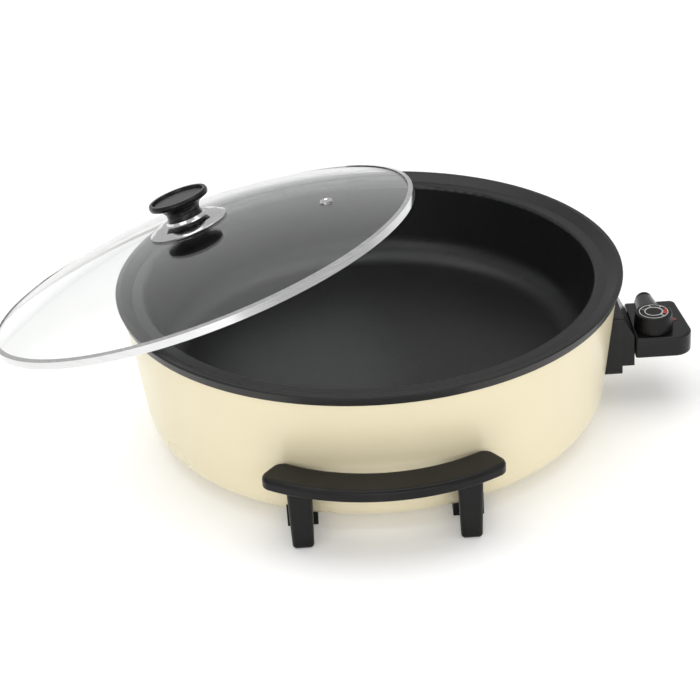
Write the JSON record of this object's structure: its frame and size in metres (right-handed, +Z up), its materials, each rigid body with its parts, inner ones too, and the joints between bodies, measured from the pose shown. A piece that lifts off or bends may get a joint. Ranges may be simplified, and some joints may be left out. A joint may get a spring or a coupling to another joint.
{
  "type": "electric skillet",
  "caption": "Deep round electric skillet with a non-stick pan in a cream wall, bar handles that form its stands, a plug-in heat control with a dial, and a loose domed glass lid.",
  "frame": {"origin": "on the ground plane under the vertical axis of the round pan", "axes": "+Z up along the pan axis, +X towards the plug-in heat control, -Y towards the front handle"},
  "size_m": [0.5673, 0.4775, 0.1743],
  "materials": {
    "nonstick": "cast aluminium under a black non-stick coating",
    "cream_enamel": "satin cream paint",
    "base_steel": "plain sheet",
    "heater_steel": "dull",
    "aluminium": "as rolled",
    "zinc_steel": "zinc plated",
    "black_plastic": "fine satin moulding",
    "contact_metal": "plain",
    "control_plastic": "satin moulding",
    "phenolic": "matte",
    "polished_steel": "polished",
    "lamp_glass": "clear",
    "lens_red": "gloss",
    "gland_rubber": "matte",
    "dial_plastic": "satin",
    "dial_print": "printed",
    "lid_glass": "clear tempered",
    "knob_plastic": "semi-gloss",
    "washer_silicone": "matte"
  },
  "bodies": {
    "pan": {"inner_pan": "nonstick", "outer_shell": "cream_enamel", "base_plate": "base_steel", "heating_element": "heater_steel", "heater_clamp_plate": "aluminium", "pan_studs": "zinc_steel", "clamp_nuts": "zinc_steel", "base_nuts": "zinc_steel", "front_handle_stand": "black_plastic", "rear_handle_stand": "black_plastic", "stand_screws": "zinc_steel", "stand_nuts": "zinc_steel", "socket_housing": "black_plastic", "terminal_pins": "contact_metal", "sensor_well": "zinc_steel"},
    "control": {"control_lower_shell": "control_plastic", "control_upper_shell": "control_plastic", "contact_block": "phenolic", "contact_sleeves": "contact_metal", "sensor_tube": "polished_steel", "contact_leaves": "contact_metal", "indicator_lamp": "lamp_glass", "indicator_lens": "lens_red", "control_screws": "zinc_steel", "cord_gland": "gland_rubber"},
    "dial": {"dial_knob": "dial_plastic", "dial_face": "dial_print", "dial_spindle": "zinc_steel"},
    "lid": {"lid_glass": "lid_glass", "lid_band": "polished_steel", "vent_grommet": "polished_steel", "knob_base_plate": "polished_steel", "knob_ring": "polished_steel", "lid_knob": "knob_plastic", "knob_cap": "knob_plastic", "lid_washer": "washer_silicone", "lid_bolt": "zinc_steel"}
  },
  "joints": [
    {"name": "control_pull", "type": "slide", "parent": "pan", "child": "control", "axis": [1, 0, 0], "range_m": [0, 0.1]},
    {"name": "dial_turn", "type": "hinge", "parent": "control", "child": "dial", "pos_m": [0.225, -0.0096, 0.064], "axis": [0, 0, 1], "range_deg": [-270, 0]},
    {"name": "lid_lift", "type": "slide", "parent": "pan", "child": "lid", "axis": [0, 0, 1], "range_m": [0, 0.15]}
  ]
}
